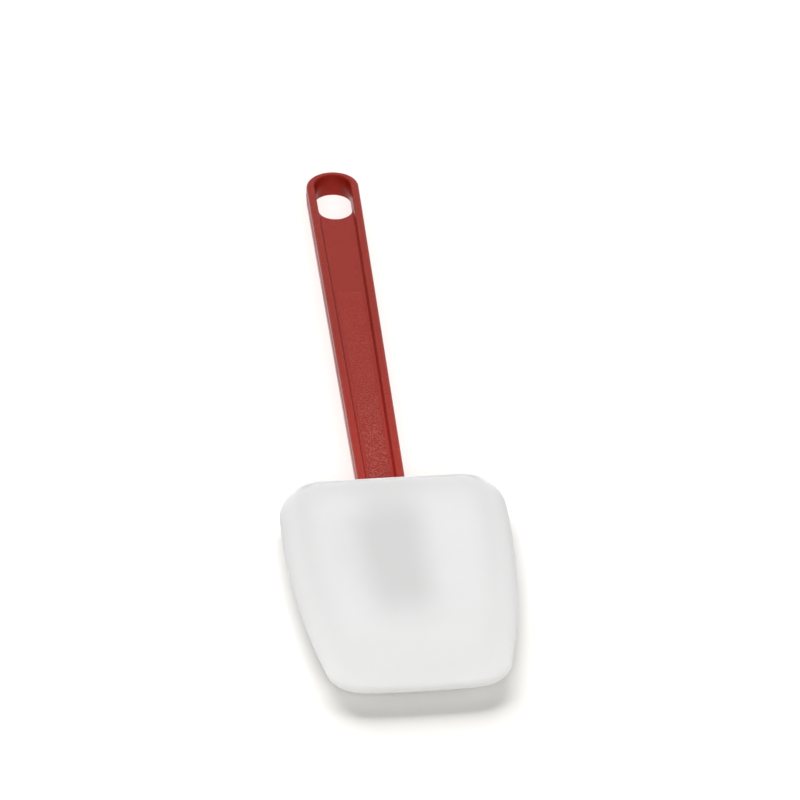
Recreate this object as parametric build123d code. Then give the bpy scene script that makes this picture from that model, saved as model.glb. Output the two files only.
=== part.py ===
from build123d import *
import os
from math import acos, asin, atan2, cos, degrees, hypot, pi, radians, sin, sqrt, tan

# Small kitchen scraper: a rigid nylon handle with a soft silicone blade moulded round its tongue.
# All sizes are in millimetres. Both pieces are drawn in the mould's frame: X across, Y along the
# handle with 0 at the blade's rear edge, the butt on +Y and the scraping edge on -Y, and Z out of
# the parting plane. The last step lays the finished pair on a table.

# Whole object
OVERALL_LENGTH = 241.0          # scraping edge to the end of the butt

# Blade, seen from above
BLADE_LENGTH = 89.5             # rear edge to scraping edge
BLADE_WIDTH = 60.0              # across its widest place
BLADE_WIDEST_AT = 20.0          # widest place, measured from the rear edge
BLADE_SIDE_RADIUS = 290.0       # long bow of each side
BLADE_SHOULDER_RADIUS = 11.5    # rear corners
BLADE_TIP_CORNER_RADIUS = 10.5  # corners of the scraping edge
BLADE_TIP_RADIUS = 235.0        # slight bow of the scraping edge
BLADE_OFFSET = 2.0              # the blade's middle lies this far beside the handle's centre line

# Blade, seen from the side
SOCKET_LIP = 0.9                # silicone above and below the handle where it enters
BLADE_TIP_THICKNESS = 1.4       # at the scraping edge
SIDE_ROUNDING = 4.8             # how far the soft rounding runs in from each side
TIP_ROUNDING = 2.5              # the same at the scraping edge
ROOT_ROUNDING = 1.5             # the same at the rear edge
ROUNDING_STEPS = 5              # strips in a quarter of the rounding

# Handle
NECK_WIDTH = 12.7               # where the handle meets the blade
BUTT_WIDTH = 14.9               # across the round butt
HANDLE_THICKNESS = 6.8
RIM_WIDTH = 2.3                 # raised rim round both faces
WEB_THICKNESS = 2.0             # panel between the rims
OUTER_DRAFT = 1.5               # mould draft of the outer walls, degrees
RECESS_DRAFT = 6.0              # mould draft of the recess walls, degrees
RIM_EDGE_RADIUS = 0.8           # outer edges of the rims
RECESS_EDGE_RADIUS = 0.6        # inner edges of the rims
RECESS_FLOOR_RADIUS = 0.7       # where the recess walls meet the web

# Hang hole, through the web at the butt, as wide as the recess
HANG_HOLE_LENGTH = 18.7         # at the parting plane
HANG_HOLE_END_RADIUS = 4.7      # round end towards the blade

# Grained pad on both faces of the web
SMOOTH_BUTT_LENGTH = 58.5       # bare end of the handle, from the butt to the pad
GRAIN_PAD_HEIGHT = 0.2
GRAIN_PAD_MARGIN = 0.3          # bare web between the pad and the recess walls

# Shoulder and tongue, hidden in the blade
SOCKET_DEPTH = 1.5              # how far the handle's solid shoulder sits in the blade
SOCKET_STEP = 0.4               # the shoulder is this much smaller than the handle all round
TONGUE_NECK_WIDTH = 9.0
TONGUE_NECK_LENGTH = 8.0        # shoulder to paddle
PADDLE_WIDTH = 16.0
PADDLE_CORNER_RADIUS = 6.0
FLEX_LENGTH = 40.0              # blade beyond the end of the tongue
TONGUE_ROOT_THICKNESS = 4.2
TONGUE_END_COVER = 1.2          # silicone above and below the end of the tongue
LOCK_HOLE_DIAMETER = 4.0        # silicone runs through these and locks the blade on
LOCK_HOLE_COUNT = 3
LOCK_HOLE_PITCH = 11.0

# Places that follow from the sizes
BUTT_END = OVERALL_LENGTH - BLADE_LENGTH
BUTT_RADIUS = BUTT_WIDTH / 2
BUTT_CENTRE = BUTT_END - BUTT_RADIUS
HALF_HANDLE = HANDLE_THICKNESS / 2
HALF_WEB = WEB_THICKNESS / 2
HALF_ROOT = HALF_HANDLE + SOCKET_LIP
HALF_TIP = BLADE_TIP_THICKNESS / 2
THINNING = (HALF_ROOT - HALF_TIP) / BLADE_LENGTH    # lost from each face of the blade per mm
RECESS_DEPTH = HALF_HANDLE - HALF_WEB
RECESS_NARROWING = RECESS_DEPTH * tan(radians(RECESS_DRAFT))
HOLE_INSET = RIM_WIDTH + HALF_HANDLE * tan(radians(RECESS_DRAFT))
HOLE_FAR_END = BUTT_END - HOLE_INSET
RIM_MIDDLE = (NECK_WIDTH + BUTT_WIDTH) / 4 - RIM_WIDTH / 2      # centre line to the rims, halfway
PADDLE_START = SOCKET_DEPTH + TONGUE_NECK_LENGTH
PADDLE_END = BLADE_LENGTH - FLEX_LENGTH
HALF_TONGUE_ROOT = TONGUE_ROOT_THICKNESS / 2
HALF_TONGUE_END = HALF_ROOT - THINNING * PADDLE_END - TONGUE_END_COVER


def side_lean():
    """Angle between the handle's sides and its centre line, in radians."""
    half_neck = NECK_WIDTH / 2
    return atan2(BUTT_CENTRE, half_neck) - acos(BUTT_RADIUS / hypot(half_neck, BUTT_CENTRE))


def meet(centre_a, radius_a, centre_b, radius_b):
    """The right-hand one of the two points where two circles cross."""
    gap = centre_b - centre_a
    along = (radius_a**2 - radius_b**2 + gap.length**2) / (2 * gap.length)
    aside = sqrt(radius_a**2 - along**2)
    way = gap.normalized()
    points = [centre_a + way * along + Vector(-way.Y, way.X) * s * aside for s in (-1, 1)]
    return max(points, key=lambda point: point.X)


def arc(centre, start, end):
    """The short arc about a centre from one point to another."""
    middle = (start - centre).normalized() + (end - centre).normalized()
    return ThreePointArc(start, centre + middle.normalized() * (start - centre).length, end)


def flipped(point):
    """The same point on the other side of the centre line."""
    return Vector(-point.X, point.Y)


def blade_outline(side_inset, tip_inset, root_inset):
    """The blade's outline, drawn in from its sides, scraping edge and rear edge."""
    side_centre = Vector(BLADE_WIDTH / 2 - BLADE_SIDE_RADIUS, -BLADE_WIDEST_AT)
    side_radius = BLADE_SIDE_RADIUS - side_inset
    tip_centre = Vector(0, BLADE_TIP_RADIUS - BLADE_LENGTH)
    tip_radius = BLADE_TIP_RADIUS - tip_inset
    shoulder_radius = BLADE_SHOULDER_RADIUS - side_inset
    corner_radius = BLADE_TIP_CORNER_RADIUS - side_inset

    shoulder_y = -root_inset - shoulder_radius
    reach = sqrt((side_radius - shoulder_radius)**2 - (shoulder_y - side_centre.Y)**2)
    shoulder = Vector(side_centre.X + reach, shoulder_y)
    corner = meet(side_centre, side_radius - corner_radius, tip_centre, tip_radius - corner_radius)

    root_point = Vector(shoulder.X, -root_inset)
    side_top = side_centre + (shoulder - side_centre).normalized() * side_radius
    side_low = side_centre + (corner - side_centre).normalized() * side_radius
    tip_point = tip_centre + (corner - tip_centre).normalized() * tip_radius

    edges = [
        Line(flipped(root_point), root_point),
        arc(shoulder, root_point, side_top),
        arc(side_centre, side_top, side_low),
        arc(corner, side_low, tip_point),
        arc(tip_centre, tip_point, flipped(tip_point)),
        arc(flipped(corner), flipped(tip_point), flipped(side_low)),
        arc(flipped(side_centre), flipped(side_low), flipped(side_top)),
        arc(flipped(shoulder), flipped(side_top), flipped(root_point)),
    ]
    return make_face(edges)


def blade_section(step):
    """One outline in the blade's rounding: step 0 is the parting plane, the last is its face."""
    turn = step / ROUNDING_STEPS * pi / 2
    height = sin(turn)
    inset = 1 - cos(turn)
    lean = degrees(atan2(height * THINNING, 1))
    outline = blade_outline(SIDE_ROUNDING * inset, TIP_ROUNDING * inset, ROOT_ROUNDING * inset)
    return Location((0, 0, height * HALF_ROOT), (lean, 0, 0)) * outline


def both_faces(upper):
    """A piece together with its mirror image in the parting plane."""
    return upper + mirror(upper, about=Plane.XY)


def blade_body():
    """The blade as a solid wedge with soft sides, before the tongue is taken out of it."""
    sections = [blade_section(step) for step in range(ROUNDING_STEPS + 1)]
    return both_faces(loft(sections, ruled=True))


def handle_outline(inset, end_y):
    """The handle's tapered bar with its round butt, drawn in by an inset and cut off at end_y."""
    lean = side_lean()
    radius = BUTT_RADIUS - inset
    side_point = Vector(radius * cos(lean), BUTT_CENTRE - radius * sin(lean))
    half_end = radius / cos(lean) - (BUTT_CENTRE - end_y) * tan(lean)
    end_point = Vector(half_end, end_y)
    edges = [
        Line(flipped(end_point), end_point),
        Line(end_point, side_point),
        ThreePointArc(side_point, Vector(0, BUTT_CENTRE + radius), flipped(side_point)),
        Line(flipped(side_point), flipped(end_point)),
    ]
    return make_face(edges)


def bar():
    """The handle's outer form, drafted both ways from the parting plane and cut off at Y = 0."""
    long_bar = both_faces(extrude(handle_outline(0, -NECK_WIDTH), HALF_HANDLE, taper=OUTER_DRAFT))
    return long_bar & Pos(0, BUTT_END / 2, 0) * Box(2 * BUTT_WIDTH, BUTT_END, HANDLE_THICKNESS)


def recess():
    """The hollow between the rims on the upper face, as a solid to take away."""
    mouth = Pos(0, 0, HALF_HANDLE) * handle_outline(RIM_WIDTH, -NECK_WIDTH)
    hollow = extrude(mouth, RECESS_DEPTH, dir=(0, 0, -1), taper=RECESS_DRAFT)
    floor = hollow.faces().sort_by(Axis.Z)[0]
    return fillet([edge for edge in floor.edges() if edge.center().Y > 0], RECESS_FLOOR_RADIUS)


def softened(body, radius, inside):
    """The bar with the outer edges of its rims rounded on both faces, or the inner ones."""
    faces = body.faces().sort_by(Axis.Z)
    long_edges = [e for e in faces[0].edges() + faces[-1].edges() if e.center().Y > BUTT_WIDTH]
    return fillet([e for e in long_edges if (aside(e) < RIM_MIDDLE) == inside], radius)


def aside(edge):
    """How far the middle of an edge is from the centre line, or from the butt's centre."""
    middle = edge @ 0.5
    return hypot(middle.X, max(middle.Y - BUTT_CENTRE, 0))


def hang_hole():
    """The upper half of the hole at the butt, whose walls run on from the walls of the recess."""
    end_centre = HOLE_FAR_END - HANG_HOLE_LENGTH + HANG_HOLE_END_RADIUS
    reach = HOLE_FAR_END - end_centre
    beyond = Pos(0, end_centre + reach / 2, 0) * Rectangle(BUTT_WIDTH, reach)
    round_end = Pos(0, end_centre, 0) * Circle(HANG_HOLE_END_RADIUS)
    plan = handle_outline(HOLE_INSET, 0) & (beyond + round_end)
    return extrude(plan, HALF_HANDLE, taper=-RECESS_DRAFT)


def grain_pad():
    """The raised pad on the upper face of the web that carries the grain."""
    edge = RECESS_NARROWING + RECESS_FLOOR_RADIUS + GRAIN_PAD_MARGIN
    strip = handle_outline(RIM_WIDTH + edge, GRAIN_PAD_MARGIN)
    length = BUTT_END - SMOOTH_BUTT_LENGTH
    limit = Pos(0, length / 2, 0) * Rectangle(BUTT_WIDTH, length)
    return extrude(Pos(0, 0, HALF_WEB) * (strip & limit), GRAIN_PAD_HEIGHT)


def shoulder():
    """The solid stepped end of the bar that sits in the blade's rear edge."""
    end = Pos(0, -SOCKET_DEPTH / 2, 0) * Rectangle(NECK_WIDTH - 2 * SOCKET_STEP, SOCKET_DEPTH)
    return extrude(end, HALF_HANDLE - SOCKET_STEP, both=True)


def tongue_plan():
    """The tongue seen from above: a neck, a round-cornered paddle and a row of lock holes."""
    neck_end = PADDLE_START + PADDLE_CORNER_RADIUS
    neck_length = neck_end - SOCKET_DEPTH
    neck = Pos(0, neck_length / 2 - neck_end, 0) * Rectangle(TONGUE_NECK_WIDTH, neck_length)
    length = PADDLE_END - PADDLE_START
    middle = -(PADDLE_START + PADDLE_END) / 2
    paddle = Pos(0, middle, 0) * RectangleRounded(PADDLE_WIDTH, length, PADDLE_CORNER_RADIUS)
    plan = neck + paddle
    for number in range(LOCK_HOLE_COUNT):
        offset = (number - (LOCK_HOLE_COUNT - 1) / 2) * LOCK_HOLE_PITCH
        plan -= Pos(0, middle + offset, 0) * Circle(LOCK_HOLE_DIAMETER / 2)
    return plan


def tongue():
    """The paddle that holds the blade, thinning towards its end as the blade does."""
    side = Polygon(
        (-SOCKET_DEPTH, HALF_TONGUE_ROOT),
        (-SOCKET_DEPTH, -HALF_TONGUE_ROOT),
        (-PADDLE_END, -HALF_TONGUE_END),
        (-PADDLE_END, HALF_TONGUE_END),
        align=None,
    )
    wedge = extrude(Plane.YZ * side, PADDLE_WIDTH, both=True)
    return extrude(tongue_plan(), TONGUE_ROOT_THICKNESS, both=True) & wedge


def handle():
    """The whole handle: rimmed bar, grained web, hang hole and hidden tongue."""
    plain = softened(bar(), RIM_EDGE_RADIUS, inside=False)
    hollow = plain - both_faces(recess() + hang_hole())
    body = softened(hollow, RECESS_EDGE_RADIUS, inside=True)
    return body + both_faces(grain_pad()) + shoulder() + tongue()


def blade(core):
    """The blade, moulded round the handle that it takes as its core."""
    return Pos(BLADE_OFFSET, 0, 0) * blade_body() - core


def laid_on_table(pieces):
    """The pieces turned and moved to lie on Z = 0, with the origin under the middle of their box."""
    step = HALF_ROOT - THINNING * ROOT_ROUNDING - HALF_HANDLE
    run = BUTT_END - RIM_EDGE_RADIUS + ROOT_ROUNDING
    tilt = -degrees(asin(step / run))
    turned = [Rot(tilt, 0, 0) * piece for piece in pieces]
    box = Compound(turned).bounding_box()
    shift = Pos(-box.center().X, -box.center().Y, -box.min.Z)
    return [shift * piece for piece in turned]


def main():
    os.makedirs("parts", exist_ok=True)
    core = handle()
    placed = laid_on_table([core, blade(core)])
    for name, piece in zip(("handle", "blade"), placed):
        export_step(piece, f"parts/{name}.step")


main()
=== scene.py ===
"""A small kitchen scraper: a red nylon handle with a soft white silicone blade moulded round it.

Shapes are drawn in the mould's frame, in millimetres: X across, Y along the handle with 0 at the
blade's rear edge and the butt on +Y, and Z out of the parting plane. A seat then lays the pair on
the table in metres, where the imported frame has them; the materials work in those metres.
"""

import logging
from dataclasses import dataclass, field
from enum import Enum
from functools import reduce
from math import acos, asin, atan2, cos, hypot, pi, radians, sin, sqrt, tan
from typing import Callable, Sequence

import bmesh
import bpy
from mathutils import Matrix, Vector


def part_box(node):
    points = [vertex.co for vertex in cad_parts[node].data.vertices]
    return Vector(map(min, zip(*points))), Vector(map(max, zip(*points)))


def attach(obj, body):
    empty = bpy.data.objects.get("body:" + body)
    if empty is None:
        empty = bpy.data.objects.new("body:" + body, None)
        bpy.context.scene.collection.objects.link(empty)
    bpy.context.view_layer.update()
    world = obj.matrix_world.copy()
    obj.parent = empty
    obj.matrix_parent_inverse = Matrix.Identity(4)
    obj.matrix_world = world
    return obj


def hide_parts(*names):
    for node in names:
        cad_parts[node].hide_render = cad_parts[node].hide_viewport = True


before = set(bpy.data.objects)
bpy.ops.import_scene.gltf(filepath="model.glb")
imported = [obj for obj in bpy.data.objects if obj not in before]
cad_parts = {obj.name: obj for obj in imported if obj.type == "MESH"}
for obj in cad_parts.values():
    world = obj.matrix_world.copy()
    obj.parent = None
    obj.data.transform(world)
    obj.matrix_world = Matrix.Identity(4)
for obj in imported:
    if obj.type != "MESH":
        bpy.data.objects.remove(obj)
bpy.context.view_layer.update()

log = logging.getLogger("scraper")

MM = 0.001  # one millimetre in metres
WELD = 1e-4  # points nearer than this, in millimetres, are one point
SHARP = radians(50)  # a crease steeper than this stays sharp under smooth shading
HALVINGS = 40  # how often a search halves its range
EDGE = "edge"  # attribute of the blade's skin, as its rings set it; it masks the painted edge shade

Colour = tuple[float, float, float, float]
Span = tuple[float, float]
Mesh = bpy.types.Mesh
Points = list[Vector]
Socket = bpy.types.NodeSocket
Value = float | Socket
Material = bpy.types.Material
Piece = bpy.types.Object
Tree = bpy.types.NodeTree
Corners = Sequence[bmesh.types.BMVert]

SOFT: Span = (0.35, 0.65)  # the values of a noise between which one tone becomes another
WIDE: Span = (0.3, 0.7)  # the same for a gentler change


class Slot(Enum):
    """The record's material slots."""

    NYLON = "red_nylon"
    SILICONE = "white_silicone"


class Grade(Enum):
    """How a moulded nylon surface left its mould."""

    SATIN = "satin"
    GRAINED = "grained"


class Face(Enum):
    """The two faces of the handle, as the turn about Y that brings the upper one there."""

    UPPER = 0.0
    LOWER = pi


class Net:
    """Nodes of a tree, linked by the names of their sockets."""

    def __init__(self, tree: Tree) -> None:
        """Starts by emptying the tree."""
        tree.nodes.clear()
        self.tree = tree

    def add(self, kind: str, inputs: dict | None = None, **settings: object) -> bpy.types.Node:
        """Adds one node.

        Args:
            kind: the node's type.
            inputs: for each input, by name or number, a value or the socket that feeds it.
            settings: the node's own properties.

        Returns:
            The new node.
        """
        node = self.tree.nodes.new(kind)
        for name, value in settings.items():
            setattr(node, name, value)
        for key, value in (inputs or {}).items():
            if isinstance(value, Socket):
                self.tree.links.new(value, node.inputs[key])
            else:
                node.inputs[key].default_value = value
        return node

    def out(self, kind: str, inputs: dict | None = None, **settings: object) -> Socket:
        """The first output of a new node."""
        return self.add(kind, inputs, **settings).outputs[0]

    def maths(self, operation: str, *values: Value, clamp: bool = False) -> Socket:
        """The result of a Math node on these values or sockets."""
        return self.out("ShaderNodeMath", dict(enumerate(values)), operation=operation,
                        use_clamp=clamp)

    def product(self, *values: Value) -> Socket:
        """The product of two or more values or sockets."""
        return reduce(lambda first, second: self.maths("MULTIPLY", first, second), values)

    def ramp(self, value: Socket, low: Value, high: Value, to_low: Value = 0.0,
             to_high: Value = 1.0, smooth: bool = True) -> Socket:
        """A value carried from the range low to high to another range, and held inside that."""
        ranges = {"From Min": low, "From Max": high, "To Min": to_low, "To Max": to_high}
        return self.out("ShaderNodeMapRange", {"Value": value} | ranges,
                        interpolation_type="SMOOTHSTEP" if smooth else "LINEAR")

    def noise(self, place: Socket, scale: Value, detail: float, output: str = "Fac") -> Socket:
        """Soft random values from 0 to 1, about scale blotches to a unit of length."""
        inputs = {"Vector": place, "Scale": scale, "Detail": detail}
        return self.add("ShaderNodeTexNoise", inputs).outputs[output]

    def axes(self, place: Socket) -> bpy.types.NodeOutputs:
        """The X, Y and Z of a place."""
        return self.add("ShaderNodeSeparateXYZ", {0: place}).outputs

    def point(self, x: Value = 0.0, y: Value = 0.0, z: Value = 0.0) -> Socket:
        """A place from its X, Y and Z."""
        return self.out("ShaderNodeCombineXYZ", {"X": x, "Y": y, "Z": z})


class ShaderNet(Net):
    """Nodes of a material or the room."""

    def place(self) -> Socket:
        """The Object coordinates."""
        return self.add("ShaderNodeTexCoord").outputs["Object"]

    def blend(self, share: Value, first: Colour | Socket, second: Colour | Socket) -> Socket:
        """A colour between two, by a share from 0 to 1."""
        inputs = {0: share, 6: first, 7: second}
        return self.add("ShaderNodeMix", inputs, data_type="RGBA").outputs[2]

    def bump(self, height: Socket, strength: float, distance: float) -> Socket:
        """A normal that shows a height without moving the surface."""
        return self.out("ShaderNodeBump",
                        {"Strength": strength, "Distance": distance, "Height": height})

    def seen(self) -> Socket:
        """1 for what is seen directly, in gloss or through glass, and otherwise 0."""
        path = self.add("ShaderNodeLightPath").outputs
        first = self.maths("MAXIMUM", path["Is Camera Ray"], path["Is Glossy Ray"])
        return self.maths("MAXIMUM", first, path["Is Transmission Ray"])


class GeometryNet(Net):
    """Nodes of a new geometry tree, from one mesh to real faces of one material."""

    def __init__(self, name: str, numbers: Sequence[str], counts: Sequence[str]) -> None:
        """Starts the tree, whose inputs are a mesh, these numbers and these whole numbers."""
        super().__init__(bpy.data.node_groups.new(name, "GeometryNodeTree"))
        sockets = [("Mesh", "INPUT", "Geometry"), ("Geometry", "OUTPUT", "Geometry")]
        sockets += [(label, "INPUT", "Float") for label in numbers]
        sockets += [(label, "INPUT", "Int") for label in counts]
        for label, side, kind in sockets:
            self.tree.interface.new_socket(label, in_out=side, socket_type=f"NodeSocket{kind}")
        self.given = self.add("NodeGroupInput").outputs

    def join(self, *geometries: Socket) -> Socket:
        """Several geometries as one."""
        node = self.add("GeometryNodeJoinGeometry")
        for geometry in geometries:
            self.tree.links.new(geometry, node.inputs[0])
        return node.outputs[0]

    def finish(self, geometry: Socket, material: Material) -> Tree:
        """Makes every instance real, gives all of it one material and ends the tree there."""
        real = self.out("GeometryNodeRealizeInstances", {"Geometry": geometry})
        dressed = self.out("GeometryNodeSetMaterial", {"Geometry": real, "Material": material})
        self.add("NodeGroupOutput", {"Geometry": dressed})
        return self.tree


class Shell:
    """A mesh in the making, in millimetres in the mould's frame."""

    def __init__(self) -> None:
        """Starts with nothing in it."""
        self.mesh = bmesh.new()
        self.edge = self.mesh.verts.layers.float.new(EDGE)

    def ring(self, points: Points, edge: float = 0.0) -> Corners:
        """New corners at these points, with their value of the edge attribute."""
        made = [self.mesh.verts.new(point) for point in points]
        for vertex in made:
            vertex[self.edge] = edge
        return made

    def face(self, corners: Corners) -> None:
        """A face on these corners, or none where they fall together."""
        if len(set(corners)) > 2:
            self.mesh.faces.new(list(dict.fromkeys(corners)))

    def bridge(self, first: Corners, second: Corners, closed: bool = True) -> None:
        """A strip of faces between two rows of as many corners, or two rings if it's closed."""
        count = len(first)
        for here in range(count if closed else count - 1):
            there = (here + 1) % count
            self.face((first[here], first[there], second[there], second[here]))

    def mirror(self) -> None:
        """Adds the mirror image in the parting plane, for finished() to join."""
        everything = self.mesh.verts[:] + self.mesh.edges[:] + self.mesh.faces[:]
        for item in bmesh.ops.duplicate(self.mesh, geom=everything)["geom"]:
            if isinstance(item, bmesh.types.BMVert):
                item.co.z = -item.co.z

    def finished(self, name: str) -> Mesh:
        """The finished mesh of this name, welded, with its faces outwards."""
        bmesh.ops.remove_doubles(self.mesh, verts=self.mesh.verts, dist=WELD)
        bmesh.ops.dissolve_degenerate(self.mesh, edges=self.mesh.edges, dist=WELD)
        bmesh.ops.recalc_face_normals(self.mesh, faces=self.mesh.faces)
        return kept(name, self.mesh)


def kept(name: str, work: bmesh.types.BMesh) -> Mesh:
    """A new mesh of this name from finished work, which is freed."""
    data = bpy.data.meshes.new(name)
    work.to_mesh(data)
    work.free()
    return data


def placed(name: str, data: bpy.types.ID) -> Piece:
    """A new object in the scene."""
    made = bpy.data.objects.new(name, data)
    bpy.context.scene.collection.objects.link(made)
    return made


def aimed(name: str, data: bpy.types.ID, target: Vector, way: Vector, distance: float) -> Piece:
    """A lamp or a camera that looks back at a target from that way and distance."""
    made = placed(name, data)
    made.location = target + way * distance
    made.rotation_euler = (-way).to_track_quat("-Z", "Y").to_euler()
    return made


def heading(azimuth: float, elevation: float) -> Vector:
    """The direction at an azimuth, clockwise from +Y, and an elevation."""
    level = cos(elevation)
    return Vector((sin(azimuth) * level, cos(azimuth) * level, sin(elevation)))


def painted(name: str) -> tuple[Material, ShaderNet]:
    """A new material, and its nodes."""
    made = bpy.data.materials.new(name)
    made.use_nodes = True
    return made, ShaderNet(made.node_tree)


def spread(start: float, end: float, steps: int) -> list[float]:
    """Evenly spaced numbers, both ends included."""
    return [start + (end - start) * step / steps for step in range(steps + 1)]


def arc(centre: Vector, radius: float, start: float, end: float, steps: int) -> Points:
    """Points on an arc in the XY plane, one more than its steps."""
    return [centre + Vector((cos(angle), sin(angle), 0)) * radius
            for angle in spread(start, end, steps)]


def flipped(points: Points) -> Points:
    """The same points on the other side of the centre line, the last one first."""
    return [Vector((-point.x, point.y, point.z)) for point in reversed(points)]


def whole_ring(right: Points) -> Points:
    """A closed ring from its right half, whose first and last points are on the centre line."""
    return right + flipped(right[1:-1])


def whole_row(right: Points) -> Points:
    """An open row from its right half, whose last point is on the centre line."""
    return right + flipped(right[:-1])


def crossing(holds: Callable[[float], bool], low: float, high: float) -> float:
    """The last number up to high at which a rule holds that holds at low."""
    if holds(high):
        return high
    for _ in range(HALVINGS):
        middle = (low + high) / 2
        low, high = (middle, high) if holds(middle) else (low, middle)
    return low


def grown(name: str, seed: Mesh, tree: Tree, inputs: dict) -> Mesh:
    """Runs a geometry tree on a mesh and keeps the result as a plain mesh.

    Args:
        name: the new mesh's name.
        seed: the mesh that the tree starts from.
        tree: the geometry tree.
        inputs: values by name, with all that the tree asks for.

    Returns:
        The finished plain mesh.
    """
    host = placed(name, seed)
    modifier = host.modifiers.new(name, "NODES")
    modifier.node_group = tree
    for item in tree.interface.items_tree:
        if item.item_type == "SOCKET" and item.in_out == "INPUT" and item.name in inputs:
            modifier[item.identifier] = inputs[item.name]
    graph = bpy.context.evaluated_depsgraph_get()
    mesh = bpy.data.meshes.new_from_object(host.evaluated_get(graph))
    host.modifiers.clear()
    bpy.data.objects.remove(host)
    mesh.name = name
    return mesh


def joined(name: str, parts: Sequence[Mesh], seat: Matrix,
           finishes: Sequence[Material], grained: Sequence[Mesh] = ()) -> Piece:
    """One finished piece from its meshes.

    Args:
        name: the piece's name.
        parts: meshes in the mould's frame.
        seat: the way from there to the table.
        finishes: the piece's materials.
        grained: those of the parts that take the second material.

    Returns:
        The piece's object, at the origin, with its place in its mesh.
    """
    work = bmesh.new()
    for part in parts:
        first = len(work.faces)
        work.from_mesh(part)
        work.faces.ensure_lookup_table()
        for face in work.faces[first:]:
            face.material_index = 1 if part in grained else 0
            face.smooth = True
    data = kept(name, work)
    data.transform(seat)
    for finish in finishes:
        data.materials.append(finish)
    data.set_sharp_from_angle(angle=SHARP)
    return placed(name, data)


@dataclass(frozen=True)
class Seat:
    """The way the scraper lies: on the lower rim of its butt and the rear edge of its blade."""

    rise: float  # from the rim's face down to the blade's lower face
    run: float  # along the handle between the two places that touch the table

    def turn(self) -> Matrix:
        """The tilt that brings both places down to the table, with millimetres made metres."""
        return Matrix.Rotation(-asin(self.rise / self.run), 4, "X") @ Matrix.Scale(MM, 4)

    def matrix(self, parts: Sequence[Mesh], node: str) -> Matrix:
        """The way to the table that brings these parts, and their mates, where a node is."""
        turn = self.turn()
        places = [turn @ corner.co for part in parts for corner in part.vertices]
        low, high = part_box(node)
        shift = [(least + most - min(along) - max(along)) / 2
                 for least, most, along in zip(low, high, zip(*places))]
        return Matrix.Translation(shift) @ turn


@dataclass(frozen=True)
class Station:
    """One place on the way round the handle's outline."""

    foot: Vector  # on the outline, in the parting plane
    inward: Vector  # the way in from there, for each millimetre of inset

    def at(self, inset: float, height: float) -> Vector:
        """The point at an inset from the outline and a height."""
        return self.foot + self.inward * inset + Vector((0, 0, height))


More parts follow.
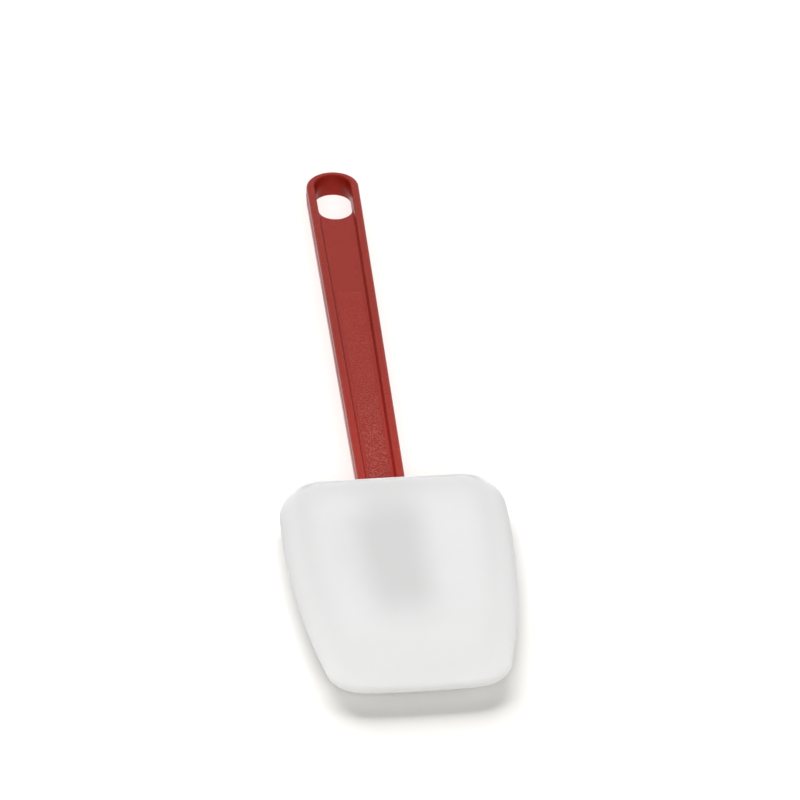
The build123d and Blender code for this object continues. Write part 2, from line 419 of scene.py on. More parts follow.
@dataclass
class Handle:
    """The rigid handle: a rimmed bar with a round butt, a web between the rims and a hang hole."""

    length: float = 151.5  # blade's rear edge to the end of the butt
    neck_width: float = 12.7
    butt_width: float = 14.9
    thickness: float = 6.8
    rim_width: float = 2.3
    web_thickness: float = 2.0
    outer_draft: float = radians(1.5)
    recess_draft: float = radians(6.0)
    rim_edge_radius: float = 0.8
    recess_edge_radius: float = 0.6
    floor_radius: float = 0.7
    hole_length: float = 18.7
    hole_end_radius: float = 4.7
    seam_width: float = 0.05  # half the width of the mould's parting line
    seam_height: float = 0.03
    guard: float = 0.08  # flat strip that keeps the web's shading flat
    rounding_share: float = 0.9  # share of the way out on to the web that is rounded
    side_steps: int = 30  # parts of the side before the hang hole,
    cut_steps: int = 12  # beside its round end
    hole_steps: int = 4  # and beside its straight sides
    butt_steps: int = 32
    round_end_steps: int = 20  # parts of the hole's round end on the flat of the web
    edge_steps: int = 6

    def __post_init__(self) -> None:
        """Works out the places that follow from the sizes."""
        self.butt_radius = self.butt_width / 2
        self.butt_centre = self.length - self.butt_radius
        self.top = self.thickness / 2
        self.web_top = self.web_thickness / 2
        half_neck = self.neck_width / 2
        reach = hypot(half_neck, self.butt_centre)
        self.lean = atan2(self.butt_centre, half_neck) - acos(self.butt_radius / reach)
        far_end = self.length - self.wall_inset(0)
        self.hole_centre = far_end - self.hole_length + self.hole_end_radius
        self.hole_middle = Vector((0, self.hole_centre, 0))

    def wall_inset(self, height: float) -> float:
        """How far the recess wall is in from the outline at a height."""
        return self.rim_width + (self.top - height) * tan(self.recess_draft)

    def floor_inset(self) -> float:
        """How far the flat of the web is in from the outline."""
        wall = self.wall_inset(self.web_top + self.floor_radius)
        return wall + self.floor_radius / cos(self.recess_draft)

    def half_width(self, inset: float, y: float) -> float:
        """Half the width between the drafted sides at an inset, that far along the handle."""
        return (self.butt_radius - inset) / cos(self.lean) - (self.butt_centre - y) * tan(self.lean)

    def side_station(self, y: float) -> Station:
        """A station on the straight right side."""
        foot = Vector((self.half_width(0, y), y, 0))
        if y == 0:
            return Station(foot, Vector((-1 / cos(self.lean), 0, 0)))
        return Station(foot, Vector((-cos(self.lean), sin(self.lean), 0)))

    def butt_station(self, angle: float) -> Station:
        """A station on the round butt."""
        outward = Vector((cos(angle), sin(angle), 0))
        return Station(Vector((0, self.butt_centre, 0)) + outward * self.butt_radius, -outward)

    def hole_radius(self, height: float) -> float:
        """Radius of the hang hole's round end at a height, flush with the recess walls."""
        return self.side_station(self.hole_centre).at(self.wall_inset(height), 0).x

    def clear_of_hole(self, station: Station, share: float) -> bool:
        """Whether the recess floor at a station and a share is clear of the hole's round end."""
        point = station.at(*self.floor_place(share))
        return hypot(point.x, point.y - self.hole_centre) > self.hole_radius(point.z)

    def stations(self) -> list[Station]:
        """The right half of the way round, from the blade's rear edge to the end of the butt."""
        cut_start = crossing(lambda y: self.clear_of_hole(self.side_station(y), 1),
                             self.hole_centre - 2 * self.hole_end_radius, self.hole_centre)
        side_end = self.butt_centre - self.butt_radius * sin(self.lean)
        stops = spread(0, cut_start, self.side_steps)
        stops += spread(stops[-1], self.hole_centre, self.cut_steps)[1:]
        stops += spread(self.hole_centre, side_end, self.hole_steps)[1:-1]
        turns = spread(-self.lean, pi / 2, self.butt_steps)
        return [self.side_station(y) for y in stops] + [self.butt_station(turn) for turn in turns]

    def outer_levels(self) -> list[Span]:
        """Insets and heights from the parting plane up the outer wall and over the rim's edge."""
        seam = self.seam_height
        radius = self.rim_edge_radius
        height = self.top - radius
        inset = seam + height * tan(self.outer_draft) + radius / cos(self.outer_draft)
        levels = [(0.0, 0.0), (0.0, self.seam_width), (seam, self.seam_width + seam)]
        return levels + [(inset - radius * cos(angle), height + radius * sin(angle))
                         for angle in spread(self.outer_draft, pi / 2, self.edge_steps)]

    def recess_levels(self) -> list[Span]:
        """Insets and heights over the rim's inner edge and down the recess wall."""
        radius = self.recess_edge_radius
        height = self.top - radius
        inset = self.wall_inset(height) - radius / cos(self.recess_draft)
        return [(inset + radius * cos(angle), height + radius * sin(angle))
                for angle in spread(pi / 2, self.recess_draft, self.edge_steps)]

    def floor_place(self, share: float) -> Span:
        """Inset and height on the way from the recess wall, at share 0, out on to the web, at 1."""
        beyond = (share - self.rounding_share) / (1 - self.rounding_share)
        if beyond > 0:
            return self.floor_inset() + self.guard * beyond, self.web_top
        angle = self.recess_draft + (pi / 2 - self.recess_draft) * share / self.rounding_share
        rise = self.floor_radius * (1 - sin(angle))
        return self.floor_inset() - self.floor_radius * cos(angle), self.web_top + rise

    def last_share(self, station: Station) -> float:
        """How far out the recess floor reaches at a station before the hang hole cuts it off."""
        if station.foot.y > self.hole_centre - WELD:
            return 0.0
        if station.foot.y < self.hole_centre - 2 * self.hole_end_radius:
            return 1.0
        return crossing(lambda share: self.clear_of_hole(station, share), 0.0, 1.0)

    def middle_edge(self, upper: Vector) -> Vector:
        """The point of the hole's edge in the parting plane, below one of its upper edge."""
        way = Vector((upper.x, upper.y - self.hole_centre, 0)).normalized()
        return self.hole_middle + way * self.hole_radius(0)

    def bar(self) -> Mesh:
        """The rimmed bar with its web and hang hole.

        Returns:
            The closed mesh, in the mould's frame.
        """
        shell = Shell()
        stations = self.stations()
        levels = self.outer_levels() + self.recess_levels()
        rows = [whole_row([station.at(*level) for station in stations]) for level in levels]
        last = [self.last_share(station) for station in stations]
        for share in spread(0, self.rounding_share, self.edge_steps) + [1.0]:
            places = [s.at(*self.floor_place(min(share, end))) for s, end in zip(stations, last)]
            rows.append(whole_row(places))
        strips = [shell.ring(row) for row in rows]
        for lower, upper in zip(strips, strips[1:]):
            shell.bridge(lower, upper, closed=False)
        shell.face([strip[0] for strip in strips] + [strip[-1] for strip in reversed(strips)])

        inner = rows[-1]
        cut = next(number for number, end in enumerate(last) if end < 1) - 1
        start = atan2(inner[cut].y - self.hole_centre, inner[cut].x)
        round_end = arc(self.hole_middle + Vector((0, 0, self.web_top)),
                        self.hole_radius(self.web_top), -pi / 2, start, self.round_end_steps)
        shell.face(shell.ring(whole_row(inner[:cut] + list(reversed(round_end)))))

        sides = [station for station in stations if station.foot.y > self.hole_centre - WELD]
        straight = len(stations) - len(sides)
        round_edge = round_end + inner[cut + 1:straight]
        upper_edge = round_edge + inner[straight:len(stations)]
        middle_edge = [self.middle_edge(point) for point in round_edge]
        middle_edge += [station.at(self.wall_inset(0), 0) for station in sides]
        shell.bridge(shell.ring(whole_ring(upper_edge)), shell.ring(whole_ring(middle_edge)))
        shell.mirror()
        return shell.finished("bar")


@dataclass
class Tongue:
    """The hidden end of the handle: a shoulder, and a paddle with holes that lock the blade on."""

    socket_depth: float = 1.5
    shoulder_width: float = 11.9
    shoulder_height: float = 6.0
    neck_width: float = 9.0
    neck_length: float = 8.0
    paddle_width: float = 16.0
    paddle_end: float = 49.5
    paddle_corner: float = 6.0
    corner_steps: int = 8
    root_thickness: float = 4.2
    end_thickness: float = 2.218
    hole_radius: float = 2.0
    hole_steps: int = 32
    hole_count: int = 3
    hole_pitch: float = 11.0

    def outline(self) -> Points:
        """The paddle and its neck from above, the right half first."""
        corner = self.paddle_corner
        side = self.paddle_width / 2 - corner
        half_neck = self.neck_width / 2
        rear = Vector((side, -(self.socket_depth + self.neck_length) - corner, 0))
        front = Vector((side, -self.paddle_end + corner, 0))
        meet = pi / 2 - atan2(half_neck - side, corner)
        right = [Vector((0, -self.socket_depth, 0)), Vector((half_neck, -self.socket_depth, 0))]
        right += arc(rear, corner, meet, 0, self.corner_steps)
        right += arc(front, corner, 0, -pi / 2, self.corner_steps)
        right.append(Vector((0, -self.paddle_end, 0)))
        return whole_ring(right)

    def tree(self, material: Material) -> Tree:
        """The rule that punches the lock holes and gives the paddle its wedge.

        Args:
            material: what the tongue is made of.

        Returns:
            The geometry tree, whose inputs are the sizes of the holes and the wedge.
        """
        net = GeometryNet(
            "lock_holes",
            ("hole_radius", "hole_pitch", "first_hole", "root", "end", "root_half", "end_half"),
            ("hole_count",))
        given, out = net.given, net.out
        row = out("GeometryNodeMeshLine", {
            "Count": given["hole_count"], "Start Location": net.point(y=given["first_hole"]),
            "Offset": net.point(y=given["hole_pitch"])})
        circle = out("GeometryNodeCurvePrimitiveCircle",
                     {"Resolution": self.hole_steps, "Radius": given["hole_radius"]})
        holes = out("GeometryNodeInstanceOnPoints", {"Points": row, "Instance": circle})
        edge = out("GeometryNodeMeshToCurve", {"Mesh": given["Mesh"]})
        rims = net.join(edge, out("GeometryNodeRealizeInstances", {"Geometry": holes}))
        plan = out("GeometryNodeFillCurve", {"Curve": rims})
        raised = out("GeometryNodeExtrudeMesh",
                     {"Mesh": plan, "Offset": (0, 0, 1), "Individual": False})
        under = out("GeometryNodeFlipFaces", {"Mesh": plan})
        whole = out("GeometryNodeMergeByDistance",
                    {"Geometry": net.join(raised, under), "Distance": WELD})
        parts = net.axes(out("GeometryNodeInputPosition"))
        half = net.ramp(parts["Y"], given["root"], given["end"], given["root_half"],
                        given["end_half"], smooth=False)
        side = net.ramp(parts["Z"], 0.0, 1.0, -1.0, 1.0, smooth=False)
        moved = net.point(parts["X"], parts["Y"], net.product(half, side))
        wedge = out("GeometryNodeSetPosition", {"Geometry": whole, "Position": moved})
        return net.finish(wedge, material)

    def paddle(self, material: Material) -> Mesh:
        """The paddle with its lock holes, in the mould's frame."""
        outline = Shell()
        corners = outline.ring(self.outline())
        for here, there in zip(corners, corners[1:] + corners[:1]):
            outline.mesh.edges.new((here, there))
        middle = -(self.socket_depth + self.neck_length + self.paddle_end) / 2
        return grown("paddle", outline.finished("outline"), self.tree(material), vars(self) | {
            "first_hole": middle - self.hole_pitch * (self.hole_count - 1) / 2,
            "root": -self.socket_depth,
            "end": -self.paddle_end,
            "root_half": self.root_thickness / 2,
            "end_half": self.end_thickness / 2,
        })

    def shoulder(self) -> Mesh:
        """The stepped end of the bar, in the mould's frame."""
        shell = Shell()
        half = self.shoulder_width / 2
        height = self.shoulder_height / 2
        plan = [(-half, -self.socket_depth), (half, -self.socket_depth), (half, 0), (-half, 0)]
        rings = [shell.ring([Vector((x, y, z)) for x, y in plan]) for z in (-height, height)]
        shell.bridge(*rings)
        for ring in rings:
            shell.face(ring)
        return shell.finished("shoulder")


@dataclass
class GrainPad:
    """The raised pad on one face of the web, with its leathery moulded grain."""

    start: float = 0.3  # blade's rear edge to the pad
    length: float = 92.7
    edge_inset: float = 3.22  # from the handle's outline
    plateau: float = 0.02  # height of the pad above the web
    relief: float = 0.14  # height of the grain on top of that
    grain_size: float = 0.62
    fade: float = 0.6  # width over which the pad sinks into the web
    sunk: float = 0.03  # depth of the pad's border in the web
    rows: int = 560
    columns: int = 42
    seed: float = 7.0
    bend: float = 0.35  # how far a noise pulls the grain's cells out of shape
    bend_scale: float = 0.8
    groove: Span = (0.02, 0.32)  # from the bottom of a groove up on to a pebble
    fine: float = 0.4  # share of the grain that is fine noise
    fine_scale: float = 2.2
    worn: float = 0.75  # share of its height that is gone at the far end
    worn_from: float = 0.55  # share of the length where that starts

    def tree(self, material: Material) -> Tree:
        """The rule of the grain.

        Args:
            material: the grained nylon.

        Returns:
            The geometry tree, whose inputs are the pad's sizes and the grain's seed.
        """
        net = GeometryNet(
            "grain_pad",
            ("start", "length", "near_half", "far_half", "base", "plateau", "relief",
             "grain_size", "fade", "seed"),
            ("rows", "columns"))
        given, maths, product = net.given, net.maths, net.product
        sheet = net.out("GeometryNodeMeshGrid", {
            "Size X": 2.0, "Size Y": 1.0,
            "Vertices X": given["columns"], "Vertices Y": given["rows"]})
        flat = net.axes(net.out("GeometryNodeInputPosition"))
        along = maths("ADD", flat["Y"], 0.5)
        taper = maths("SUBTRACT", given["far_half"], given["near_half"])
        half = maths("ADD", given["near_half"], product(along, taper))
        x = product(flat["X"], half)
        y = maths("ADD", given["start"], product(along, given["length"]))
        side_gap = maths("SUBTRACT", half, maths("ABSOLUTE", x))
        end_gap = product(given["length"], maths("MINIMUM", along, maths("SUBTRACT", 1.0, along)))
        border = net.ramp(maths("MINIMUM", side_gap, end_gap), 0.0, given["fade"])
        left = maths("SUBTRACT", 1.0, product(net.ramp(along, self.worn_from, 1.0), self.worn))

        place = net.point(x, y, given["seed"])
        scale = maths("DIVIDE", 1.0, given["grain_size"])
        pull = net.noise(place, product(scale, self.bend_scale), 2.0, "Color")
        pull = net.out("ShaderNodeVectorMath", {0: pull, 1: (self.bend,) * 3}, operation="MULTIPLY")
        bent = net.out("ShaderNodeVectorMath", {0: place, 1: pull}, operation="ADD")
        cells = net.add("ShaderNodeTexVoronoi", {"Vector": bent, "Scale": scale},
                        feature="DISTANCE_TO_EDGE").outputs["Distance"]
        pebbles = product(net.ramp(cells, *self.groove), 1 - self.fine)
        fine = net.noise(place, product(scale, self.fine_scale), 1.0)
        grain = maths("ADD", pebbles, product(net.ramp(fine, *WIDE), self.fine))
        height = maths("ADD", given["plateau"], product(given["relief"], grain, left))
        z = maths("ADD", given["base"], product(height, border))
        return net.finish(net.out("GeometryNodeSetPosition", {
            "Geometry": sheet, "Position": net.point(x, y, z)}), material)

    def mesh(self, handle: Handle, tree: Tree, face: Face) -> Mesh:
        """The pad on one face.

        Args:
            handle: the handle that carries it.
            tree: the rule of the grain.
            face: which face of the handle.

        Returns:
            The pad as a closed mesh in the mould's frame.
        """
        base = handle.web_top - self.sunk
        nothing = bpy.data.meshes.new("seed")
        sheet = grown(f"pad_{face.name.lower()}", nothing, tree, vars(self) | {
            "near_half": handle.half_width(self.edge_inset, self.start),
            "far_half": handle.half_width(self.edge_inset, self.start + self.length),
            "base": base,
            "plateau": self.plateau + self.sunk,
            "seed": self.seed + face.value,
        })
        work = bmesh.new()
        work.from_mesh(sheet)
        below = {}  # the corner under each corner of the border
        for edge in [edge for edge in work.edges if edge.is_boundary]:
            for corner in edge.verts:
                if corner not in below:
                    below[corner] = work.verts.new((*corner.co.xy, base - self.sunk))
            here, there = edge.verts
            work.faces.new((here, there, below[there], below[here]))
        bmesh.ops.holes_fill(work, edges=[edge for edge in work.edges if edge.is_boundary])
        bmesh.ops.recalc_face_normals(work, faces=work.faces)
        work.to_mesh(sheet)
        work.free()
        sheet.transform(Matrix.Rotation(face.value, 4, "Y"))
        return sheet


@dataclass
class Blade:
    """The soft blade: a wedge with rounded sides, thinning to its scraping edge."""

    length: float = 89.5
    width: float = 60.0
    widest_at: float = 20.0
    side_radius: float = 290.0
    shoulder_radius: float = 11.5
    tip_corner_radius: float = 10.5
    tip_radius: float = 235.0
    offset: float = 2.0  # its middle lies this far beside the handle's centre line
    half_root: float = 4.3
    half_tip: float = 0.7
    side_rounding: float = 4.8
    tip_rounding: float = 2.5
    root_rounding: float = 1.5
    seam_width: float = 0.05
    seam_height: float = 0.03
    rounding_steps: int = 22
    root_steps: int = 20
    corner_steps: int = 16
    side_steps: int = 36
    tip_steps: int = 20
    # the edge attribute masks the silicone's painted edge shade
    edge_at_seam: float = 2.0  # the edge attribute at the parting line; the face starts at 1,
    face_rings: tuple[Span, ...] = (  # and has this at shares of the way to its middle
        (0.02, 0.97), (0.10, 0.65), (0.20, 0.30), (0.32, 0.0), (0.6, 0.0), (0.85, 0.0))

    @property
    def thinning(self) -> float:
        """What each face loses for each millimetre towards the scraping edge."""
        return (self.half_root - self.half_tip) / self.length

    def meet(self, centre_a: Vector, radius_a: float, centre_b: Vector, radius_b: float) -> Vector:
        """The right-hand one of the two points where two circles cross."""
        gap = centre_b - centre_a
        along = (radius_a**2 - radius_b**2 + gap.length**2) / (2 * gap.length)
        aside = sqrt(radius_a**2 - along**2)
        way = gap.normalized()
        points = [centre_a + way * along + Vector((-way.y, way.x, 0)) * s * aside for s in (-1, 1)]
        return max(points, key=lambda point: point.x)

    def outline(self, inset: float) -> Points:
        """The outline, drawn in by a share of its rounding.

        Args:
            inset: 0 at the parting plane, 1 on the flat of the face.

        Returns:
            A closed ring from the middle of the rear edge.
        """
        side_inset, root_inset = self.side_rounding * inset, self.root_rounding * inset
        side = Vector((self.width / 2 - self.side_radius, -self.widest_at, 0))
        side_radius = self.side_radius - side_inset
        tip = Vector((0, self.tip_radius - self.length, 0))
        tip_radius = self.tip_radius - self.tip_rounding * inset
        shoulder_radius = self.shoulder_radius - side_inset
        corner_radius = self.tip_corner_radius - side_inset
        shoulder_y = -root_inset - shoulder_radius
        reach = sqrt((side_radius - shoulder_radius)**2 - (shoulder_y - side.y)**2)
        shoulder = Vector((side.x + reach, shoulder_y, 0))
        corner = self.meet(side, side_radius - corner_radius, tip, tip_radius - corner_radius)
        side_start = atan2(shoulder.y - side.y, shoulder.x - side.x)
        side_end = atan2(corner.y - side.y, corner.x - side.x)
        tip_start = atan2(corner.y - tip.y, corner.x - tip.x)
        points = [Vector((x, -root_inset, 0)) for x in spread(0, shoulder.x, self.root_steps)]
        points += arc(shoulder, shoulder_radius, pi / 2, side_start, self.corner_steps)[1:]
        points += arc(side, side_radius, side_start, side_end, self.side_steps)[1:]
        points += arc(corner, corner_radius, side_end, tip_start, self.corner_steps)[1:]
        points += arc(tip, tip_radius, tip_start, -pi / 2, self.tip_steps)[1:]
        return whole_ring(points)

    def ring(self, inset: float, height: float) -> Points:
        """The outline at an inset, on the plane that leans with the blade's face at a height."""
        turn = Matrix.Rotation(atan2(height * self.thinning, 1), 4, "X")
        lift = Vector((self.offset, 0, height * self.half_root))
        return [turn @ point + lift for point in self.outline(inset)]

    def levels(self) -> list[Span]:
        """Insets and heights, as shares, from the parting line over the soft rounding."""
        seam = self.seam_width / self.half_root
        levels = [(0.0, 0.0), (0.0, seam)]
        for angle in spread(asin(2 * seam), pi / 2, self.rounding_steps):
            rise = self.seam_height / self.side_rounding * cos(angle)
            levels.append((1 - cos(angle) + rise, sin(angle)))
        return levels

    def body(self) -> Mesh:
        """The blade's skin, closed over the socket.

        Returns:
            The mesh, in the mould's frame.
        """
        shell = Shell()
        rings = []
        for inset, height in self.levels():
            flat = self.ring(inset, height)
            rings.append(shell.ring(flat, self.edge_at_seam - inset))
        middle = sum(flat, Vector()) / len(flat)
        for share, edge in self.face_rings:
            rings.append(shell.ring([point.lerp(middle, share) for point in flat], edge))
        for lower, upper in zip(rings, rings[1:]):
            shell.bridge(lower, upper)
        shell.face(rings[-1])
        shell.mirror()
        return shell.finished("blade_body")


@dataclass(frozen=True)
class Nylon:
    """Red glass-filled nylon, satin where the mould was polished and leathery on the grip pads."""

    tone: Colour = (0.284, 0.0165, 0.0083, 1.0)
    deep_tone: Colour = (0.270, 0.0150, 0.0075, 1.0)
    near_tone: Colour = (0.345, 0.0205, 0.0105, 1.0)  # painted light: the rims lighter near the white blade
    near_along: Span = (0.052, -0.028)  # where that starts, and where it is full
    # painted glints: the pale tone of specks that stand in for light caught by the grain
    speck_tone: Colour = (0.385, 0.080, 0.064, 1.0)
    gloss: float = 0.13
    refraction: float = 1.5
    satin_roughness: Span = (0.23, 0.30)
    grain_roughness: Span = (0.44, 0.30)
    blotch: float = 0.009
    pit: float = 0.00022
    satin_bump: Span = (0.12, 0.00003)  # strength and distance
    grain_bump: Span = (0.35, 0.00005)
    speck: float = 0.00036  # size of the pale specks of painted glint on the grain
    speck_cut: Span = (0.50, 0.64)  # values of their noise from red to pale
    speck_along: Span = (0.062, -0.030)  # from the far end of the pads to the blade
    speck_share: float = 0.25  # how pale they are at the far end

    def material(self, grade: Grade) -> Material:
        """The finish of one grade.

        Args:
            grade: satin or grained.

        Returns:
            The material, on Object coordinates.
        """
        made, net = painted(f"nylon_{grade.value}")
        place = net.place()
        along = net.axes(place)["Y"]
        cloud = net.noise(place, 1 / self.blotch, 4.0)
        colour = net.blend(net.ramp(cloud, *SOFT), self.tone, self.deep_tone)
        pits = net.noise(place, 1 / self.pit, 3.0)
        if grade is Grade.SATIN:
            roughness = net.ramp(cloud, *WIDE, *self.satin_roughness)
            # painted light: the satin parts grow lighter towards the white blade
            share = net.ramp(along, *self.near_along)
            tint, bump = self.near_tone, self.satin_bump
        else:
            roughness = net.ramp(pits, *WIDE, *self.grain_roughness)
            # painted glints: pale specks, thickest near the blade
            specks = net.ramp(net.noise(place, 1 / self.speck, 0.0), *self.speck_cut)
            thinned = net.ramp(along, *self.speck_along, self.speck_share, 1.0)
            share = net.product(specks, thinned)
            tint, bump = self.speck_tone, self.grain_bump
        shader = net.out("ShaderNodeBsdfPrincipled", {
            "Base Color": net.blend(share, colour, tint), "Roughness": roughness,
            "Normal": net.bump(pits, *bump), "IOR": self.refraction,
            "Specular IOR Level": self.gloss})
        net.add("ShaderNodeOutputMaterial", {"Surface": shader})
        return made


@dataclass(frozen=True)
class Patch:
    """A soft-edged patch of painted shade on the blade; each side spans from none to all of it.

    They are metres to the right of the handle's centre line, or from the blade's rear edge on.
    """

    right: Span
    left: Span
    start: Span
    end: Span
    share: float = 1.0

    def cover(self, net: ShaderNet, across: Socket, along: Socket) -> Socket:
        """How much of it there is at a place, from 0 to its share."""
        sides = net.product(net.ramp(across, *self.right), net.ramp(across, *self.left))
        return net.product(sides, net.ramp(along, *self.start),
                           net.ramp(along, *self.end, 0.0, self.share))


@dataclass(frozen=True)
class Silicone:
    """White silicone, a little see-through, with a soft grey painted shade where the tongue lies in
    it.
    """

    tone: Colour = (0.800, 0.803, 0.808, 1.0)
    cloudy_tone: Colour = (0.791, 0.794, 0.799, 1.0)
    # painted shade of the hidden tongue
    shade: Colour = (0.665, 0.668, 0.672, 1.0)
    edge_tone: Colour = (0.728, 0.731, 0.735, 1.0)  # painted shade towards its edges, where the thin silicone shows the shadow below
    rear_tone: Colour = (0.560, 0.562, 0.565, 1.0)  # painted shade, deepest along the rear edge
    roughness: Span = (0.46, 0.54)
    refraction: float = 1.41
    depth: float = 0.0040  # how deep light wanders
    cloud: float = 0.012  # size of the cloudy patches
    skin: float = 0.0004  # and of the unevenness of its skin
    skin_bump: Span = (0.05, 0.00003)  # strength and distance
    centre: float = -0.0020  # the handle's centre line
    rear: float = -0.0310  # the blade's rear edge
    # patches of the tongue's painted shade; the tail draws it out to the left
    paddle: Patch = Patch((0.0135, 0.0035), (-0.0130, -0.0010), (0.006, 0.024), (0.068, 0.046))
    neck: Patch = Patch((0.013, 0.002), (-0.013, -0.002), (-0.02, -0.01), (0.026, 0.008), 0.45)
    tail: Patch = Patch((0.004, -0.008), (-0.024, -0.008), (0.008, 0.022), (0.054, 0.030), 0.30)
    margin: Span = (0.0, 1.0)  # of the edge attribute: the border of the face,
    margin_along: Span = (0.085, 0.002)
    margin_share: float = 0.35  # share of the painted edge shade left at the tip; painted rear shade on
    rear_face: Span = (0.955, 0.995)  # the last millimetre of it
    rear_wall: Span = (1.95, 1.65)  # and the rounding below
    rear_along: Span = (0.0055, 0.0025)

    def tongue_shade(self, net: ShaderNet, across: Socket, along: Socket) -> Socket:
        """How much painted shade the hidden tongue gives, from 0 to 1."""
        paddle, neck, tail = (patch.cover(net, across, along)
                              for patch in (self.paddle, self.neck, self.tail))
        return net.maths("ADD", paddle, net.maths("MAXIMUM", neck, tail), clamp=True)

    def dull_edges(self, net: ShaderNet, along: Socket, body: Socket) -> Socket:
        """The colour of the body with painted shade towards its edges, most of all at the rear."""
        ramp, product = net.ramp, net.product
        edge = net.add("ShaderNodeAttribute", attribute_name=EDGE).outputs["Fac"]
        margin = product(ramp(edge, *self.margin),
                         ramp(along, *self.margin_along, self.margin_share, 1.0))
        rear = product(ramp(edge, *self.rear_face), ramp(edge, *self.rear_wall),
                       ramp(along, *self.rear_along))
        return net.blend(rear, net.blend(margin, body, self.edge_tone), self.rear_tone)

    def material(self) -> Material:
        """The finish, on Object coordinates."""
        made, net = painted("silicone_white")
        place = net.place()
        parts = net.axes(place)
        across = net.maths("SUBTRACT", parts["X"], self.centre)
        along = net.maths("SUBTRACT", self.rear, parts["Y"])
        cloud = net.noise(place, 1 / self.cloud, 3.0)
        body = net.blend(net.ramp(cloud, *SOFT), self.tone, self.cloudy_tone)
        # painted shade towards the edges, deepest at the rear
        body = self.dull_edges(net, along, body)
        # painted shade where the tongue lies inside the blade
        colour = net.blend(self.tongue_shade(net, across, along), body, self.shade)
        skin = net.noise(place, 1 / self.skin, 2.0)
        shader = net.out("ShaderNodeBsdfPrincipled", {
            "Base Color": colour, "Roughness": net.ramp(cloud, *WIDE, *self.roughness),
            "Normal": net.bump(skin, *self.skin_bump), "IOR": self.refraction,
            "Subsurface Weight": 1.0, "Subsurface Radius": (1.0, 1.0, 1.0),
            "Subsurface Scale": self.depth})
        net.add("ShaderNodeOutputMaterial", {"Surface": shader})
        return made


@dataclass(frozen=True)
class Lamp:
    """A soft rectangular lamp that points at the scraper."""

    name: str
    azimuth: float  # from the scraper, clockwise from +Y
    elevation: float
    distance: float
    span: Span
    power: float
    tint: tuple[float, float, float] = (1.0, 1.0, 1.0)

    def place(self, shaded_by: Sequence[Piece] = ()) -> None:
        """Hangs the lamp in the scene, out of sight of the lens and of gloss.

        Args:
            shaded_by: the only pieces that block its light, or none for all of them.
        """
        light = bpy.data.lights.new(self.name, "AREA")
        light.shape = "RECTANGLE"
        light.size, light.size_y = self.span
        light.energy = self.power
        light.color = self.tint
        way = heading(self.azimuth, self.elevation)
        holder = aimed(self.name, light, Vector(), way, self.distance)
        holder.visible_camera = holder.visible_glossy = False
        if shaded_by:
            blockers = bpy.data.collections.new(f"{self.name}_blockers")
            for piece in shaded_by:
                blockers.objects.link(piece)
            holder.light_linking.blocker_collection = blockers


@dataclass
class Studio:
    """A plain pale table between a low wide lamp behind it and a softer one in front."""

    floor_span: float = 3.0
    floor_cells: int = 8
    floor_tone: Colour = (0.930, 0.928, 0.922, 1.0)
    floor_lift: Colour = (0.092, 0.088, 0.080, 1.0)  # added to it where it is seen, up to white
    behind: Lamp = Lamp("lamp_behind", radians(-4), radians(34), 5.2, (5.2, 3.8), 402.0)
    front: Lamp = Lamp("lamp_front", radians(180), radians(30), 2.6, (2.1, 1.2), 34.5,
                       (1.0, 0.98, 0.94))
    sky: float = 0.18
    sky_tone: Colour = (1.0, 1.0, 1.0, 1.0)

    def floor(self) -> Piece:
        """The table top, which keeps the scraper's shadow."""
        work = bmesh.new()
        bmesh.ops.create_grid(work, x_segments=self.floor_cells, y_segments=self.floor_cells,
                              size=self.floor_span / 2)
        data = kept("table_top", work)
        made, net = painted("table_white")
        paint = net.out("ShaderNodeBsdfDiffuse", {"Color": self.floor_tone})
        glow = net.out("ShaderNodeEmission", {"Color": self.floor_lift, "Strength": net.seen()})
        both = net.out("ShaderNodeAddShader", {0: paint, 1: glow})
        net.add("ShaderNodeOutputMaterial", {"Surface": both})
        data.materials.append(made)
        return placed("table_top", data)

    def world(self) -> None:
        """The room: an even dim light, and white where it is seen."""
        room = bpy.data.worlds.new("studio")
        bpy.context.scene.world = room
        room.use_nodes = True
        net = ShaderNet(room.node_tree)
        strength = net.maths("MAXIMUM", net.seen(), self.sky)
        back = net.out("ShaderNodeBackground", {"Color": self.sky_tone, "Strength": strength})
        net.add("ShaderNodeOutputWorld", {"Surface": back})

    def build(self, blade: Piece) -> None:
        """Sets up the table, the room and the lamps; only the blade shades the one behind."""
        self.floor()
        self.behind.place([blade])
        self.front.place()
        self.world()
        bpy.context.scene.view_settings.view_transform = "Standard"


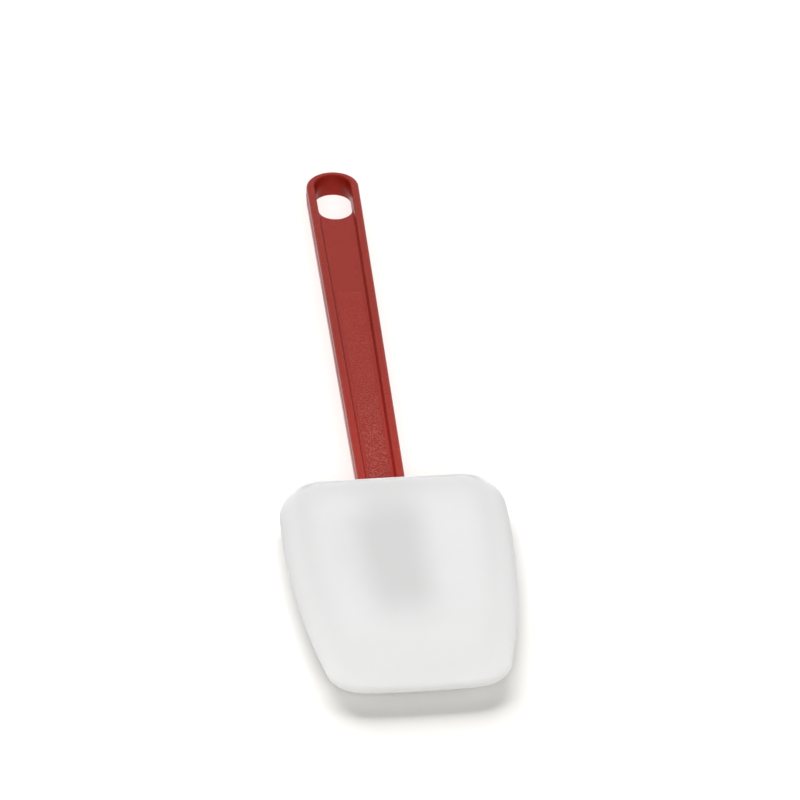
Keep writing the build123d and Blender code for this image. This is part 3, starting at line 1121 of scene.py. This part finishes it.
@dataclass(frozen=True)
class Viewpoint:
    """A long lens that looks down along the handle from beyond the blade."""

    azimuth: float = radians(-5.62)  # from the front, to the right
    elevation: float = radians(34.70)
    distance: float = 1.7549
    target: tuple[float, float, float] = (0.00747, 0.01528, 0.0)
    lens: float = 292.5
    sensor: float = 36.0
    clip: Span = (0.05, 20.0)

    def place(self) -> None:
        """Puts the scene's camera there."""
        data = bpy.data.cameras.new("camera")
        data.lens, data.sensor_width = self.lens, self.sensor
        data.clip_start, data.clip_end = self.clip
        back = heading(self.azimuth, self.elevation)
        back.y = -back.y
        bpy.context.scene.camera = aimed("camera", data, Vector(self.target), back, self.distance)


@dataclass
class Scraper:
    """The whole scraper: its handle, tongue, grip pads and blade, laid on the table."""

    handle: Handle = field(default_factory=Handle)
    tongue: Tongue = field(default_factory=Tongue)
    pad: GrainPad = field(default_factory=GrainPad)
    blade: Blade = field(default_factory=Blade)
    nylon: Nylon = Nylon()
    silicone: Silicone = Silicone()

    def seat(self) -> Seat:
        """How the pair lies on the table."""
        rise = self.blade.half_root - self.blade.thinning * self.blade.root_rounding
        run = self.handle.length - self.handle.rim_edge_radius + self.blade.root_rounding
        return Seat(rise - self.handle.top, run)

    def build(self) -> list[Piece]:
        """Builds both mouldings and ties them to the frame.

        Returns:
            The handle and the blade.
        """
        satin, grained = self.nylon.material(Grade.SATIN), self.nylon.material(Grade.GRAINED)
        tree = self.pad.tree(grained)
        pads = [self.pad.mesh(self.handle, tree, face) for face in Face]
        parts = [self.handle.bar(), self.tongue.shoulder(), self.tongue.paddle(satin)]
        seat = self.seat().matrix(parts, "handle")

        handle = joined("handle_moulding", parts + pads, seat, (satin, grained), pads)
        blade = joined("blade_moulding", [self.blade.body()], seat, [self.silicone.material()])
        for piece, node, slot in ((handle, "handle", Slot.NYLON), (blade, "blade", Slot.SILICONE)):
            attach(piece, "root")
            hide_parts(node)
        return [handle, blade]


def main() -> None:
    """Builds the scraper, the studio and the view, and reports each piece."""
    logging.basicConfig(level=logging.INFO, format="%(name)s: %(message)s")
    handle, blade = Scraper().build()
    for piece in (handle, blade):
        piece.data.calc_loop_triangles()
        log.info("%s: %d triangles", piece.name, len(piece.data.loop_triangles))
    Studio().build(blade)
    Viewpoint().place()
    log.info("table, lamps and camera in place")


if __name__ == "__main__":
    main()
